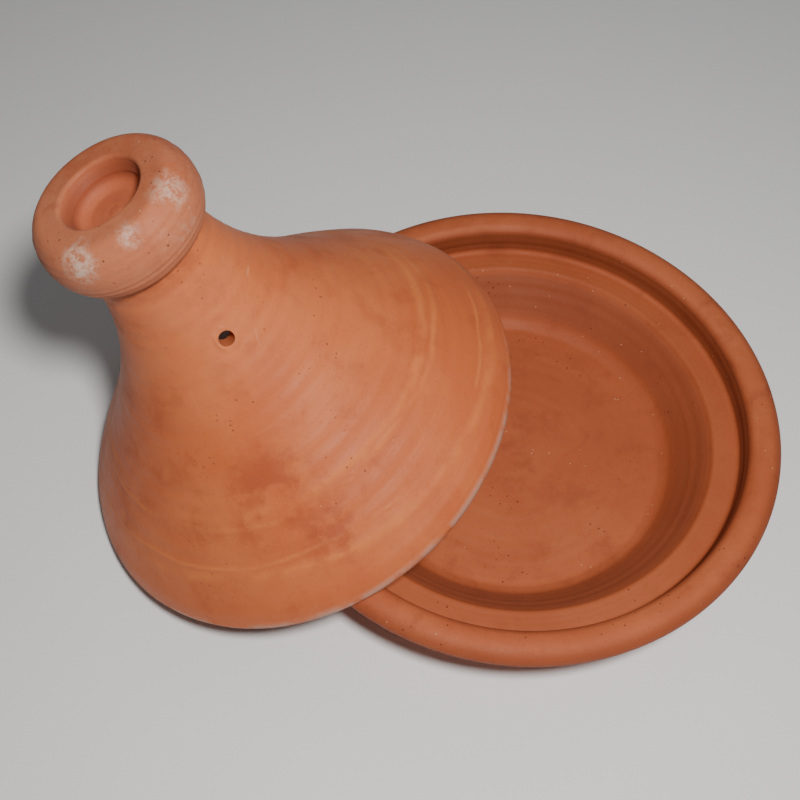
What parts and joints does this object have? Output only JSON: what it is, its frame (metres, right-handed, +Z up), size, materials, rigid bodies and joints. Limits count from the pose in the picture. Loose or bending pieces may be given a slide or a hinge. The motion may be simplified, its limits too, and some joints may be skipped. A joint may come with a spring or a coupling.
{
  "type": "tagine pot",
  "caption": "Unglazed clay tagine: shallow round dish with a rolled rim and inner gallery, and a hollow conical lid with a cupped knob, leaning on the rim.",
  "frame": {"origin": "centre of the dish's flat foot, on the table", "axes": "+Z up along the dish's axis; the lid leans towards -X; +Y is the side away from the steam vent"},
  "size_m": [0.3846, 0.29, 0.2344],
  "materials": {
    "dish_clay": "matt, unglazed",
    "lid_clay": "matt, unglazed, slightly burnished",
    "knob_clay": "matt, unglazed, with pale salt bloom"
  },
  "bodies": {
    "dish": {"dish": "dish_clay"},
    "lid": {"lid_cone": "lid_clay", "lid_knob": "knob_clay"}
  },
  "joints": [
    {"name": "lid_lift", "type": "slide", "parent": "dish", "child": "lid", "axis": [0, 0, 1], "range_m": [0, 0.15]}
  ]
}
